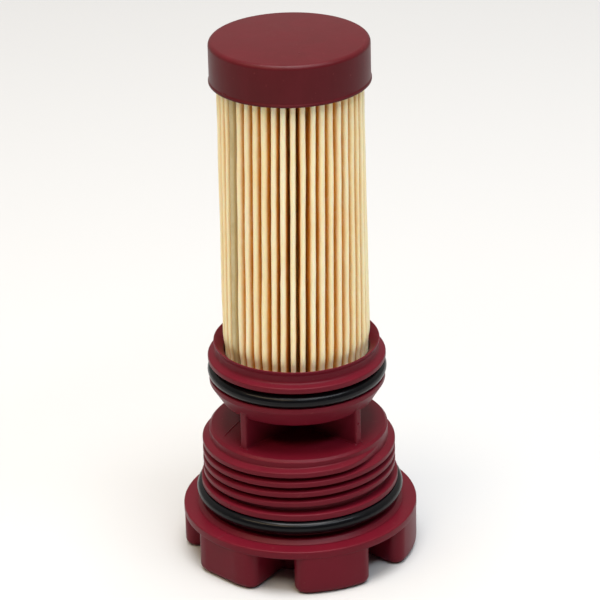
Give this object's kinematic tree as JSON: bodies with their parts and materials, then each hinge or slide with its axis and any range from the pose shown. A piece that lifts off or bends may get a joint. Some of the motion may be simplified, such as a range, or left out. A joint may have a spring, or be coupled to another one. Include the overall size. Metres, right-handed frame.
{
  "type": "fuel filter",
  "caption": "Screw-in fuel filter cartridge: pleated paper element in an O-ring sealed cup above a threaded plug with turning lugs.",
  "frame": {"origin": "centre of the circle of lug feet, on the plane the lugs stand on", "axes": "+Z along the cartridge axis, from the lugs towards the end cap; -Y faces the front"},
  "size_m": [0.0614, 0.0614, 0.141],
  "materials": {
    "plug_moulding": "satin maroon moulded plastic",
    "cap_moulding": "satin maroon moulded plastic",
    "o_rings": "smooth black rubber, lightly oiled",
    "filter_paper": "cream resin-treated filter paper",
    "adhesive": "cured cream adhesive",
    "seam_adhesive": "cured grey-green adhesive",
    "core_nylon": "natural nylon"
  },
  "bodies": {
    "root": {"lug_ring": "plug_moulding", "plug_body": "plug_moulding", "plug_thread": "plug_moulding", "plug_o_ring": "o_rings", "outlet_fins": "plug_moulding", "element_cup": "plug_moulding", "cup_o_ring": "o_rings", "lower_potting": "adhesive", "core_tube": "core_nylon", "pleated_media": "filter_paper", "media_seam": "seam_adhesive", "upper_potting": "adhesive", "end_cap": "cap_moulding"}
  },
  "joints": []
}
